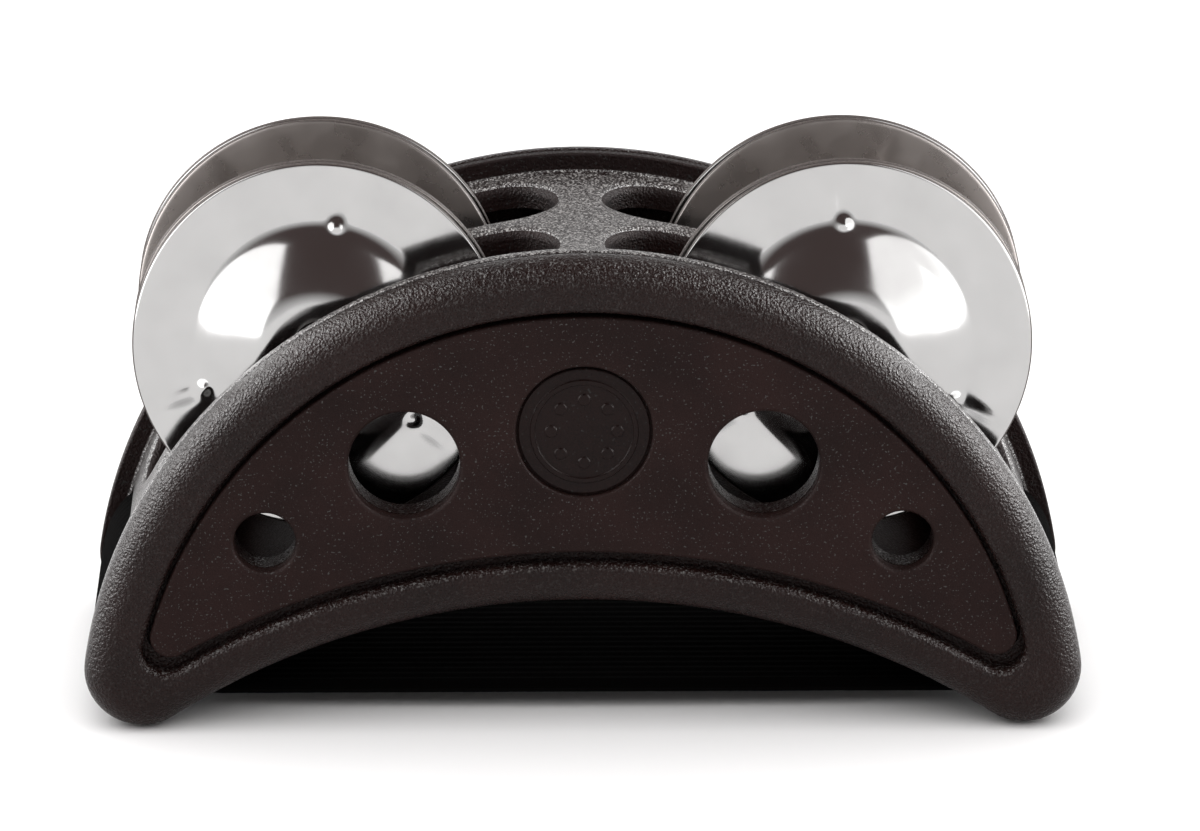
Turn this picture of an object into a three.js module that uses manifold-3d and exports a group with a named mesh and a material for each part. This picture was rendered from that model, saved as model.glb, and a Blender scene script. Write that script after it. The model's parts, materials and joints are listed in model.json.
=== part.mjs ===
// Foot tambourine: a crescent-section body that stands on two rounded feet and straps over a shoe.
// Four pairs of steel jingles hang on two pins and stand through slots in the curved deck.
// Millimetres, +Z up, +X right, front face towards -Y, origin at the bottom centre.
import * as THREE from 'three';
import { mergeVertices } from 'three/addons/utils/BufferGeometryUtils.js';
import Module from 'manifold-3d';

const wasm = await Module();
wasm.setup();

// Crescent outline: an outer arc and an arch arc, joined by rounded tips that are tangent to both.
const OUTER_Z = -1.8;
const ARCH_Z = -84.3;
const WALL = { outerR: 69.2, archR: 102.4, tipR: 7.9 };
const SHELL = { outerR: 66.5, archR: 107.63, tipR: 4 };
const HOLLOW = { outerR: 63.1, archR: 110, tipR: 1.2 };
const FLANGE_OPENING = { outerR: 60.7, archR: 111.2, tipR: 1 };
const PANEL_RECESS = { outerR: 61.9, archR: 108.6, tipR: 3.2 };
const PANEL = { outerR: 61.3, archR: 110.2, tipR: 2.8 };

// How finely round shapes are cut into flats
const ARC_STEPS = 28;
const TIP_STEPS = 4;
const SLOT_STEPS = 10;
const RIB_STEPS = 14;
const ROUND_STEPS = 3;
const DOME_STEPS = 2;
const STRAP_STEPS = { tip: 9, rise: 7 };
const SEGMENTS = { screw: 10, pin: 12, rod: 16, hole: 20, badge: 24 };
const OVERCUT = 1;

// Depths along Y, as distances from the middle plane
const HALF_DEPTH = 29;
const COVER_BACK = 24;
const FLANGE_FACE = 23.7;
const WALL_INNER = 22;
const RIM_ROUND = 3.8;
const PANEL_FACE = 28.5;
const PANEL_BACK = 26.5;
const LEDGE_FACE = 26.2;

// Sight holes, badge and screws on the panel
const BIG_HOLE = { x: 24.4, z: 38.45, r: 7.6 };
const SMALL_HOLE = { x: 43.4, z: 27.4, r: 4.2 };
const COLLAR_WALL = 1.5;
const BADGE = { z: 43.2, r: 9, recessR: 9.3, recessFloor: 27.4, face: 28.2, back: 27.7 };
const SCREWS = { top: [0, 56], middle: [0, 30], left: [-57, 13.5], right: [57, 13.5] };
const SCREW = { shankR: 1.2, holeR: 1.5, headR: 2.4, headFace: 26.2, headBack: 25.1, tip: 14, point: 1 };
const COUNTERBORE = { r: 2.8, floor: 24.8 };
const BOSS_R = 3.2;
const END_BOSS_DEPTH = 12;

// Jingles: sheet discs with a shallow dome, hung in pairs that lean together at the top
const JINGLE = { r: 25.4, thick: 0.8, domeR: 16.2, domeRise: 3.6, holeR: 2.1, facets: 30 };
const PAIR_Y = 10.35;
const JINGLE_X = 36.2;
const JINGLE_Z = 50.9;
const JINGLE_LEAN = THREE.MathUtils.degToRad(5.5);
const HALF_TOP_GAP = 0.65;
const HANG_DROP = 0.6;
const PIN = { r: 1.2, holeR: 1.5, half: 25.3, chamfer: 0.4, pocket: 26, bossR: 3.2 };
const PIN_Z = JINGLE_Z + (JINGLE.domeRise + JINGLE.thick / 2) * Math.sin(JINGLE_LEAN) + HANG_DROP;

// Deck slots, strip and ribs
const SLOT = { half: 7.65, start: 3.1, end: 67, bottom: 54, top: 72, margin: 0.2 };
const STRIP_RIB = { inner: 57.5, outer: 64.5, half: 1.4, reach: 64 };
const CENTRE_RIB = { half: 1.5, low: 24.5, high: 63 };

// Elastic strap: flat under the arch, round each tip, and in through a slit to a rod
const STRAP = { halfWidth: 21, half: 1, clearance: 0.45, floorZ: 3.5, tipX: 61.6, tipZ: 8.8, tipTurn: 0.28 };
const STRAP_RISE = { near: [66, 13.6], far: [64.6, 17.4], sink: 0.4, drop: 0.9 };
const ROD = { x: 55.2, z: 20.6, r: 1.6, holeR: 1.9, loopR: 3.2 };

const material = (name, color, roughness, metalness) =>
  new THREE.MeshStandardMaterial({ name, color, roughness, metalness });
const grained = material('grained_plastic', 0x2a2422, 0.62, 0);
const smooth = material('smooth_plastic', 0x241f1d, 0.45, 0);
const steel = material('steel', 0xd8d8d8, 0.12, 1);
const webbing = material('webbing', 0x0c0b0b, 0.95, 0);

function toSolid(geometry) {
  const bare = geometry.clone();
  bare.deleteAttribute('normal');
  bare.deleteAttribute('uv');
  const merged = mergeVertices(bare, 1e-5);
  const vertProperties = new Float32Array(merged.attributes.position.array);
  const triVerts = new Uint32Array(merged.index.array);
  return new wasm.Manifold(new wasm.Mesh({ numProp: 3, vertProperties, triVerts }));
}

function toGeometry(solid) {
  const { vertProperties, triVerts, numProp } = solid.getMesh();
  const positions = new Float32Array((vertProperties.length / numProp) * 3);
  for (let i = 0; i < positions.length / 3; i += 1) {
    for (let k = 0; k < 3; k += 1) {
      positions[3 * i + k] = vertProperties[numProp * i + k];
    }
  }
  const geometry = new THREE.BufferGeometry();
  geometry.setAttribute('position', new THREE.BufferAttribute(positions, 3));
  geometry.setIndex(new THREE.BufferAttribute(new Uint32Array(triVerts), 1));
  geometry.computeVertexNormals();
  return geometry;
}

const cut = (solid, tools) => tools.reduce((rest, tool) => rest.subtract(tool), solid);
const join = (solids) => solids.reduce((whole, solid) => whole.add(solid));

function arcPoints(cx, cz, r, from, to, steps) {
  return Array.from({ length: steps + 1 }, (_, i) => {
    const angle = from + ((to - from) * i) / steps;
    return new THREE.Vector2(cx + r * Math.cos(angle), cz + r * Math.sin(angle));
  });
}

// Centre of the right-hand tip circle, which touches both arcs of a crescent.
function tipCentre({ outerR, archR, tipR }) {
  const a = outerR - tipR;
  const b = archR + tipR;
  const z = (b * b - a * a - ARCH_Z * ARCH_Z + OUTER_Z * OUTER_Z) / (2 * (OUTER_Z - ARCH_Z));
  return { x: Math.sqrt(a * a - (z - OUTER_Z) ** 2), z };
}

function crescentPoints(spec) {
  const { x, z } = tipCentre(spec);
  const outerAngle = Math.atan2(z - OUTER_Z, x);
  const archAngle = Math.atan2(z - ARCH_Z, x);
  const half = Math.PI / 2;
  const runs = [
    arcPoints(0, OUTER_Z, spec.outerR, outerAngle, Math.PI - outerAngle, ARC_STEPS),
    arcPoints(-x, z, spec.tipR, Math.PI - outerAngle, 3 * half, TIP_STEPS),
    arcPoints(-x, z, spec.tipR, 3 * half, 2 * Math.PI - archAngle, TIP_STEPS / 2),
    arcPoints(0, ARCH_Z, spec.archR, Math.PI - archAngle, archAngle, ARC_STEPS / 2),
    arcPoints(x, z, spec.tipR, Math.PI + archAngle, 3 * half, TIP_STEPS / 2),
    arcPoints(x, z, spec.tipR, 3 * half, 2 * Math.PI + outerAngle, TIP_STEPS),
  ];
  return runs.flatMap((run) => run.slice(0, -1));
}

// A flat outline in the XZ plane, pulled along Y between two depths
function plate(points, yFrom, yTo, holes = []) {
  const shape = new THREE.Shape(points);
  shape.holes = holes.map((hole) => new THREE.Path(hole));
  const geometry = new THREE.ExtrudeGeometry(shape, { depth: yTo - yFrom, bevelEnabled: false });
  return toSolid(geometry.rotateX(Math.PI / 2).translate(0, yTo, 0));
}

function rod(x, z, r, yFrom, yTo, segments = SEGMENTS.rod) {
  const geometry = new THREE.CylinderGeometry(r, r, yTo - yFrom, segments);
  return toSolid(geometry.translate(x, (yFrom + yTo) / 2, z));
}

// Rings of equal point count, stacked along Y from the front ring to the back ring
function loft(rings) {
  const count = rings[0].points.length;
  const positions = rings.flatMap(({ y, points }) => points.flatMap((p) => [p.x, y, p.y]));
  const index = [];
  for (let k = 0; k + 1 < rings.length; k += 1) {
    for (let i = 0; i < count; i += 1) {
      const a = k * count + i;
      const b = k * count + ((i + 1) % count);
      index.push(a, a + count, b, b, a + count, b + count);
    }
  }
  const last = (rings.length - 1) * count;
  for (const [a, b, c] of THREE.ShapeUtils.triangulateShape(rings[0].points, [])) {
    index.push(a, b, c);
  }
  for (const [a, b, c] of THREE.ShapeUtils.triangulateShape(rings.at(-1).points, [])) {
    index.push(last + a, last + c, last + b);
  }
  const geometry = new THREE.BufferGeometry();
  geometry.setAttribute('position', new THREE.Float32BufferAttribute(positions, 3));
  geometry.setIndex(index);
  return toSolid(geometry);
}

const bothSides = (make) => [-1, 1].map(make);
const tambourine = new THREE.Group();

function addPart(name, geometry, look, parent = tambourine) {
  const mesh = new THREE.Mesh(geometry, look);
  mesh.name = name;
  parent.add(mesh);
  return mesh;
}

// Strap centre line for the right-hand half, from the middle of the span to the rod loop
function strapHalf() {
  const r = STRAP.tipZ - STRAP.floorZ;
  const tip = arcPoints(STRAP.tipX, STRAP.tipZ, r, -Math.PI / 2, STRAP.tipTurn, STRAP_STEPS.tip);
  const rise = new THREE.CubicBezierCurve(
    tip.at(-1),
    new THREE.Vector2(...STRAP_RISE.near),
    new THREE.Vector2(...STRAP_RISE.far),
    new THREE.Vector2(ROD.x + ROD.loopR - STRAP_RISE.sink, ROD.z - STRAP_RISE.drop),
  );
  return [...tip, ...rise.getPoints(STRAP_STEPS.rise).slice(1)];
}

function strapOutline(half) {
  const right = strapHalf();
  const line = [...right.map((p) => new THREE.Vector2(-p.x, p.y)).reverse(), ...right];
  const side = (sign) => line.map((p, i) => {
    const before = line[Math.max(i - 1, 0)];
    const after = line[Math.min(i + 1, line.length - 1)];
    const along = after.clone().sub(before).normalize();
    return new THREE.Vector2(p.x - sign * half * along.y, p.y + sign * half * along.x);
  });
  return [...side(-1), ...side(1).reverse()];
}

function strapBand() {
  const width = STRAP.halfWidth;
  const band = plate(strapOutline(STRAP.half), -width, width);
  const loops = bothSides((s) => rod(s * ROD.x, ROD.z, ROD.loopR, -width, width));
  const reach = width + OVERCUT;
  const bores = bothSides((s) => rod(s * ROD.x, ROD.z, ROD.holeR, -reach, reach));
  return cut(join([band, ...loops]), bores);
}

// A radial slot in the deck: a ring sector with round ends, on one side of the middle
function deckSlot(side, pairY) {
  const endAngle = SLOT.half / SHELL.outerR;
  const near = THREE.MathUtils.degToRad(SLOT.start) + endAngle;
  const far = THREE.MathUtils.degToRad(SLOT.end) - endAngle;
  const [from, to] = [near, far].map((lean) => Math.PI / 2 - side * lean).sort((a, b) => a - b);
  const sector = [
    ...arcPoints(0, OUTER_Z, SLOT.top, from, to, SLOT_STEPS),
    ...arcPoints(0, OUTER_Z, SLOT.bottom, to, from, SLOT_STEPS),
  ];
  const rounds = [near, far].map((lean) => {
    const height = SLOT.top - SLOT.bottom;
    const round = new THREE.CylinderGeometry(SLOT.half, SLOT.half, height, SEGMENTS.hole);
    round.translate(0, (SLOT.top + SLOT.bottom) / 2, 0).rotateX(Math.PI / 2);
    return toSolid(round.rotateY(side * lean).translate(0, pairY, OUTER_Z));
  });
  return join([plate(sector, pairY - SLOT.half, pairY + SLOT.half), ...rounds]);
}

function frameShell() {
  const span = 0.5 * (WALL_INNER + FLANGE_FACE);
  const hollow = plate(crescentPoints(HOLLOW), -span - OVERCUT, span + OVERCUT);
  return cut(plate(crescentPoints(SHELL), -span, span), [hollow]);
}

function frameFlange(s) {
  const [yFrom, yTo] = [s * WALL_INNER, s * FLANGE_FACE].sort((a, b) => a - b);
  const opening = plate(crescentPoints(FLANGE_OPENING), yFrom - OVERCUT, yTo + OVERCUT);
  return cut(plate(crescentPoints(WALL), yFrom, yTo), [opening]);
}

function frameRibs() {
  const { half, low, high } = CENTRE_RIB;
  const centre = new THREE.BoxGeometry(2 * half, WALL_INNER + FLANGE_FACE, high - low);
  const reach = THREE.MathUtils.degToRad(STRIP_RIB.reach);
  const strip = [
    ...arcPoints(0, OUTER_Z, STRIP_RIB.outer, Math.PI / 2 - reach, Math.PI / 2 + reach, RIB_STEPS),
    ...arcPoints(0, OUTER_Z, STRIP_RIB.inner, Math.PI / 2 + reach, Math.PI / 2 - reach, RIB_STEPS),
  ];
  return [
    toSolid(centre.translate(0, 0, (low + high) / 2)),
    plate(strip, -STRIP_RIB.half, STRIP_RIB.half),
  ];
}

// Solid pads that carry the pins at both walls and at the strip between the slots
function pinBosses(s) {
  const margin = PAIR_Y + SLOT.half + SLOT.margin;
  const strip = PAIR_Y - SLOT.half - SLOT.margin;
  const spans = [[-FLANGE_FACE, -margin], [-strip, strip], [margin, FLANGE_FACE]];
  return spans.map(([from, to]) => rod(s * JINGLE_X, PIN_Z, PIN.bossR, from, to));
}

function screwBosses() {
  const [top, middle, left, right] = Object.values(SCREWS);
  const short = [top, middle].flatMap(([x, z]) => [
    rod(x, z, BOSS_R, -FLANGE_FACE, END_BOSS_DEPTH - FLANGE_FACE),
    rod(x, z, BOSS_R, FLANGE_FACE - END_BOSS_DEPTH, FLANGE_FACE),
  ]);
  const long = [left, right].map(([x, z]) => rod(x, z, BOSS_R, -FLANGE_FACE, FLANGE_FACE));
  return [...short, ...long];
}

function bodyFrame() {
  const solids = [
    frameShell(),
    ...bothSides(frameFlange),
    ...frameRibs(),
    ...bothSides(pinBosses).flat(),
    ...screwBosses(),
  ];
  const depth = FLANGE_FACE + OVERCUT;
  const slots = bothSides((side) => bothSides((s) => deckSlot(side, s * PAIR_Y))).flat();
  const pinHoles = bothSides((s) => rod(s * JINGLE_X, PIN_Z, PIN.holeR, -depth, depth));
  const screwHoles = Object.values(SCREWS).flatMap(([x, z]) => bothSides((s) => {
    const [from, to] = [s * (SCREW.tip - SCREW.point), s * depth].sort((a, b) => a - b);
    return rod(x, z, SCREW.holeR, from, to, SEGMENTS.screw);
  }));
  const slitHalf = STRAP.half + STRAP.clearance;
  const slitWidth = STRAP.halfWidth + STRAP.clearance;
  const slit = plate(strapOutline(slitHalf), -slitWidth, slitWidth);
  const loopRooms = bothSides((s) => (
    rod(s * ROD.x, ROD.z, ROD.loopR + STRAP.clearance, -slitWidth, slitWidth)
  ));
  return cut(join(solids), [...slots, ...pinHoles, ...screwHoles, slit, ...loopRooms]);
}

// Rim cover, made as the front one: rounded rim, recess for the panel, sight holes with collars
function cover() {
  const inset = (d) => crescentPoints({
    outerR: WALL.outerR - d, archR: WALL.archR + d, tipR: WALL.tipR - d,
  });
  const rounding = Array.from({ length: ROUND_STEPS + 1 }, (_, k) => {
    const angle = (0.5 * Math.PI * k) / ROUND_STEPS;
    return {
      y: -(HALF_DEPTH - RIM_ROUND) - RIM_ROUND * Math.sin(angle),
      points: inset(RIM_ROUND * (1 - Math.cos(angle))),
    };
  });
  const block = loft([...rounding.reverse(), { y: -COVER_BACK, points: inset(0) }]);
  const front = -HALF_DEPTH - OVERCUT;
  const recess = plate(crescentPoints(PANEL_RECESS), front, -LEDGE_FACE);
  const holes = sightHoles();
  const collars = holes.map(([x, z, r]) => (
    rod(x, z, r + COLLAR_WALL, -LEDGE_FACE, -WALL_INNER, SEGMENTS.hole)
  ));
  const bores = holes.map(([x, z, r]) => rod(x, z, r, front, -WALL_INNER + OVERCUT, SEGMENTS.hole));
  const back = -COVER_BACK + OVERCUT;
  const pockets = bothSides((s) => rod(s * JINGLE_X, PIN_Z, PIN.holeR, -PIN.pocket, back));
  const screwHoles = Object.values(SCREWS).flatMap(([x, z]) => [
    rod(x, z, SCREW.holeR, -LEDGE_FACE - OVERCUT, back, SEGMENTS.screw),
    rod(x, z, COUNTERBORE.r, -LEDGE_FACE - OVERCUT, -COUNTERBORE.floor),
  ]);
  return cut(join([block.subtract(recess), ...collars]), [...bores, ...pockets, ...screwHoles]);
}

function sightHoles() {
  return [BIG_HOLE, SMALL_HOLE].flatMap(({ x, z, r }) => bothSides((s) => [s * x, z, r]));
}

function panel() {
  const face = plate(crescentPoints(PANEL), -PANEL_FACE, -PANEL_BACK);
  const [front, back] = [-PANEL_FACE - OVERCUT, -PANEL_BACK + OVERCUT];
  const bores = sightHoles().map(([x, z, r]) => rod(x, z, r, front, back, SEGMENTS.hole));
  const recess = rod(0, BADGE.z, BADGE.recessR, front, -BADGE.recessFloor, SEGMENTS.badge);
  return cut(face, [...bores, recess]);
}

// A turned solid about the Y axis, from points (radius, height along the axis)
function turned(profile, segments) {
  const points = profile.map(([r, y]) => new THREE.Vector2(r, y));
  return new THREE.LatheGeometry(points, segments);
}

function jingle() {
  const { r, thick, domeR, domeRise, holeR } = JINGLE;
  const sphere = (domeR ** 2 + domeRise ** 2) / (2 * domeRise);
  const rise = (radius) => (
    Math.sqrt(sphere ** 2 - radius ** 2) - Math.sqrt(sphere ** 2 - domeR ** 2)
  );
  const steps = Array.from({ length: DOME_STEPS + 1 }, (_, k) => (
    holeR + ((domeR - holeR) * k) / DOME_STEPS
  ));
  const top = [...steps.map((s) => [s, rise(s) + thick / 2]), [r, thick / 2]];
  const under = [[r, -thick / 2], ...steps.reverse().map((s) => [s, rise(s) - thick / 2])];
  return turned([...top, ...under, top[0]].reverse(), JINGLE.facets);
}

function pin() {
  const { r, half, chamfer: c } = PIN;
  const profile = [[0, -half], [r - c, -half], [r, c - half], [r, half - c], [r - c, half], [0, half]];
  return turned(profile, SEGMENTS.pin);
}

function screw() {
  const { shankR, headR, headFace, headBack, tip, point } = SCREW;
  return turned([
    [0, -headFace], [headR, -headFace], [headR, -headBack],
    [shankR, -headBack], [shankR, -tip - point], [0, -tip],
  ], SEGMENTS.screw);
}

const badge = () => rod(0, BADGE.z, BADGE.r, -BADGE.face, -BADGE.back, SEGMENTS.badge);
const strapRod = (s) => rod(s * ROD.x, ROD.z, ROD.r, -STRAP.halfWidth, STRAP.halfWidth);

// Everything on a cover is made once and turned half round for the back.
function addEndCap(end, turn) {
  const cap = new THREE.Group();
  cap.rotation.z = turn;
  tambourine.add(cap);
  addPart(`${end}_cover`, toGeometry(cover()), grained, cap);
  addPart(`${end}_panel`, toGeometry(panel()), grained, cap);
  addPart(`${end}_badge`, toGeometry(badge()), smooth, cap);
  for (const [place, [x, z]] of Object.entries(SCREWS)) {
    addPart(`${end}_screw_${place}`, screw(), steel, cap).position.set(x, 0, z);
  }
}

// One disc of a pair; way is -1 when its dome faces the front and 1 when it faces the back.
function addJingle(name, x, pairY, way) {
  const disc = addPart(name, jingle(), steel);
  const offset = HALF_TOP_GAP + JINGLE.r * Math.sin(JINGLE_LEAN);
  disc.position.set(x, pairY + way * offset, JINGLE_Z);
  disc.rotation.x = way > 0 ? JINGLE_LEAN : Math.PI - JINGLE_LEAN;
}

addPart('body_frame', toGeometry(bodyFrame()), grained);
addEndCap('front', 0);
addEndCap('rear', Math.PI);
addPart('strap', toGeometry(strapBand()), webbing);
for (const [s, side] of [[-1, 'left'], [1, 'right']]) {
  addPart(`strap_rod_${side}`, toGeometry(strapRod(s)), steel);
  addPart(`jingle_pin_${side}`, pin(), steel).position.set(s * JINGLE_X, 0, PIN_Z);
  for (const [pairY, pair] of [[-PAIR_Y, 'front'], [PAIR_Y, 'rear']]) {
    addJingle(`jingle_${side}_${pair}_pair_front`, s * JINGLE_X, pairY, -1);
    addJingle(`jingle_${side}_${pair}_pair_rear`, s * JINGLE_X, pairY, 1);
  }
}

export default tambourine;
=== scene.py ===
"""Foot tambourine: the fine visual model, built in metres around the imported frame."""
import json
import math

import bmesh
import bpy
from mathutils import Matrix, Vector


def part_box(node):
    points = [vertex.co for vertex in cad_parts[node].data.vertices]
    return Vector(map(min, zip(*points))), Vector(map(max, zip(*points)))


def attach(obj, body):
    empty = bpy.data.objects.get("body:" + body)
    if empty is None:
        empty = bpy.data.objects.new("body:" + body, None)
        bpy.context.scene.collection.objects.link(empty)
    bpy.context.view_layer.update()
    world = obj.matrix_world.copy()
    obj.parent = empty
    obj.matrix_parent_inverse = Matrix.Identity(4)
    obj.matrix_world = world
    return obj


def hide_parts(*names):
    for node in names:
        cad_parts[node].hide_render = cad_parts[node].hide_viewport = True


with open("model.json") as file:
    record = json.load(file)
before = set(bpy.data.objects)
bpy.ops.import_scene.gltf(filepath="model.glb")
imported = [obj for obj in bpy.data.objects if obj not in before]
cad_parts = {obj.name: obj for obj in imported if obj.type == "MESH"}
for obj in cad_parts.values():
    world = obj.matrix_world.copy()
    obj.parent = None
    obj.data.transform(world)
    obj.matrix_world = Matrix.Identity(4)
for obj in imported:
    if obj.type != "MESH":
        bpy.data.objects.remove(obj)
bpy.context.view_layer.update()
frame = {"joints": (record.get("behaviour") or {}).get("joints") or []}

# Crescent outlines as (outer arc radius, arch radius, tip radius); the two arcs' centres stay where they are.
OUTER_Z = -0.0018
ARCH_Z = -0.0843
WALL = (0.0692, 0.1024, 0.0079)
SHELL = (0.0665, 0.10763, 0.004)
HOLLOW = (0.0631, 0.110, 0.0012)
FLANGE_OPENING = (0.0607, 0.1112, 0.001)
PANEL_RECESS = (0.0619, 0.1086, 0.0032)
PANEL = (0.0613, 0.1102, 0.0028)
OUTER_STEPS, TIP_STEPS, ARCH_STEPS = 168, 18, 96

# Depths, as distances from the middle plane
HALF_DEPTH = -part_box("front_cover")[0].y
COVER_BACK = 0.0242
FLANGE_FACE = 0.0237
WALL_INNER = 0.022
LEDGE_FACE = 0.0262
PANEL_FACE = -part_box("front_panel")[0].y
PANEL_BACK = -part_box("front_panel")[1].y
BADGE_FACE = -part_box("front_badge")[0].y
BADGE_BACK = -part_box("front_badge")[1].y
BADGE_FLOOR = 0.0274
RIM_ROUND = 0.0042
EDGE_ROUND = 0.0004

# Features on the faces, as (x, z, radius)
SIGHT_HOLES = [
    (side * x, z, r) for x, z, r in ((0.0244, 0.03845, 0.0076), (0.0434, 0.0274, 0.0042)) for side in (-1, 1)
]
COLLAR_WALL = 0.0015
BADGE_Z, BADGE_R, BADGE_RECESS_R = 0.0432, 0.009, 0.0093
SCREWS = {"top": (0, 0.056), "middle": (0, 0.030), "left": (-0.057, 0.0135), "right": (0.057, 0.0135)}
SCREW_HOLE_R, COUNTERBORE_R, COUNTERBORE_FLOOR, BOSS_R, BOSS_DEPTH = 0.0015, 0.0028, 0.0248, 0.0032, 0.012

# Jingles: a flat seat, a spherical dome, a flat rim, and pips with a faint dimple outside each
JINGLE_R, JINGLE_THICK, DOME_R, DOME_SEAT_R, JINGLE_HOLE_R = 0.0254, 0.0008, 0.0162, 0.0074, 0.0021
DOME_SPHERE_R, DOME_FOOT, CUT_EDGE = 0.0345, 0.0013, 0.0002
PIPS, PIP_RING, PIP_R, PIP_RISE = 3, 0.0168, 0.0009, 0.00045
DIMPLE_RING, DIMPLE_LENGTH, DIMPLE_WIDTH, DIMPLE_DEPTH = 0.0198, 0.0034, 0.0011, 0.00016

# Jingle pins, the deck's slots and the frame's ribs
PIN_R, PIN_HOLE_R, PIN_POCKET, PIN_BOSS_R, PIN_RING_DEPTH = 0.0012, 0.0015, 0.026, 0.0032, 0.0002
PIN_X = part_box("jingle_pin_right")[0].x + PIN_R
PIN_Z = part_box("jingle_pin_right")[0].z + PIN_R
PAIR_Y = 0.01035
SLOT_HALF, SLOT_START, SLOT_END, SLOT_ROUND = 0.00765, math.radians(3.1), math.radians(67), 0.0017
SLOT_CUT_FROM, SLOT_MARGIN = 0.054, 0.0002
CENTRE_RIB = (0.0015, 0.0245, 0.063)
STRIP_RIB = (0.0575, 0.0645, 0.0014, math.radians(64))

# Strap and its rods; STRAP_RISE are the last three points of the curve from the tip to the rod
STRAP_HALF_WIDTH, STRAP_HALF, STRAP_CLEARANCE = 0.021, 0.001, 0.00045
STRAP_FLOOR_Z, STRAP_TIP, STRAP_TIP_TURN = 0.0035, (0.0616, 0.0088), 0.28
ROD_X, ROD_Z, ROD_R, ROD_LOOP_R = 0.0552, 0.0206, 0.0016, 0.0032
STRAP_RISE = [(0.066, 0.0136), (0.0646, 0.0174), (ROD_X + ROD_LOOP_R - 0.0004, ROD_Z - 0.0009)]


# ---------------------------------------------------------------- mesh helpers

def arc(cx, cz, radius, start, end, steps):
    """Points (x, z) along an arc, without its last one."""
    angles = [start + (end - start) * i / steps for i in range(steps)]
    return [(cx + radius * math.cos(a), cz + radius * math.sin(a)) for a in angles]


def circle(x, z, radius, steps=64):
    return arc(x, z, radius, 0, 2 * math.pi, steps)


def crescent(spec, grow=0.0):
    """The closed outline of a crescent: outer arc, left tip, arch arc, right tip, grown outwards by grow."""
    outer_r, arch_r, tip_r = spec[0] + grow, spec[1] - grow, spec[2] + grow
    a, b = outer_r - tip_r, arch_r + tip_r
    tip_z = (b * b - a * a - ARCH_Z * ARCH_Z + OUTER_Z * OUTER_Z) / (2 * (OUTER_Z - ARCH_Z))
    tip_x = math.sqrt(a * a - (tip_z - OUTER_Z) ** 2)
    outer_angle = math.atan2(tip_z - OUTER_Z, tip_x)
    arch_angle = math.atan2(tip_z - ARCH_Z, tip_x)
    return (
        arc(0, OUTER_Z, outer_r, outer_angle, math.pi - outer_angle, OUTER_STEPS)
        + arc(-tip_x, tip_z, tip_r, math.pi - outer_angle, 2 * math.pi - arch_angle, TIP_STEPS)
        + arc(0, ARCH_Z, arch_r, math.pi - arch_angle, arch_angle, ARCH_STEPS)
        + arc(tip_x, tip_z, tip_r, math.pi + arch_angle, 2 * math.pi + outer_angle, TIP_STEPS)
    )


def add_loop(bm, points, y):
    return [bm.verts.new((x, y, z)) for x, z in points]


def bridge(bm, a, b):
    count = len(a)
    for i in range(count):
        j = (i + 1) % count
        bm.faces.new((a[i], a[j], b[j], b[i]))


def join(bm, loops, closed=False):
    """Bridges each loop to the next one and, when closed, the last to the first."""
    following = loops[1:] + loops[:1] if closed else loops[1:]
    for a, b in zip(loops, following):
        bridge(bm, a, b)


def stack(bm, rings):
    """Joins closed loops of points, given as (points, y), one after the other; returns the first and last loop."""
    loops = [add_loop(bm, points, y) for points, y in rings]
    join(bm, loops)
    return loops[0], loops[-1]


def cap(bm, loops):
    """Fills the flat area inside the first loop and outside the others."""
    edges = []
    for loop in loops:
        for i, vert in enumerate(loop):
            edges.append(bm.edges.get((vert, loop[(i + 1) % len(loop)])))
    bmesh.ops.triangle_fill(bm, use_beauty=True, edges=edges)


def rounded(steps, radius, grow_sign, y):
    """(grow, y) pairs of a quarter round, from the front face at y back to the wall."""
    pairs = []
    for i in range(steps + 1):
        angle = 0.5 * math.pi * i / steps
        pairs.append((grow_sign * radius * (1 - math.sin(angle)), y + radius * (1 - math.cos(angle))))
    return pairs


def to_object(bm, name, material):
    """The mesh as a smooth-shaded object of one material; bm is freed."""
    bmesh.ops.remove_doubles(bm, verts=bm.verts, dist=1e-7)
    bmesh.ops.recalc_face_normals(bm, faces=bm.faces)
    mesh = bpy.data.meshes.new(name)
    bm.to_mesh(mesh)
    bm.free()
    obj = bpy.data.objects.new(name, mesh)
    bpy.context.scene.collection.objects.link(obj)
    mesh.materials.append(material)
    mesh.shade_smooth()
    return obj


def soften(obj, angle=35):
    """Keeps edges sharper than angle crisp, and lets large faces set the shading."""
    obj.data.set_sharp_from_angle(angle=math.radians(angle))
    weighted = obj.modifiers.new("weighted", "WEIGHTED_NORMAL")
    weighted.keep_sharp = True
    weighted.weight = 100
    return obj


def place(obj, body, nodes=()):
    """Says which body carries a piece and which CAD nodes it stands for."""
    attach(obj, body)
    if nodes:
        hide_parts(*nodes)
    return obj


def half_turn(obj):
    """A front piece turned into its rear twin."""
    obj.data.transform(Matrix.Rotation(math.pi, 4, "Z"))
    return obj


# ---------------------------------------------------------------- materials

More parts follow.
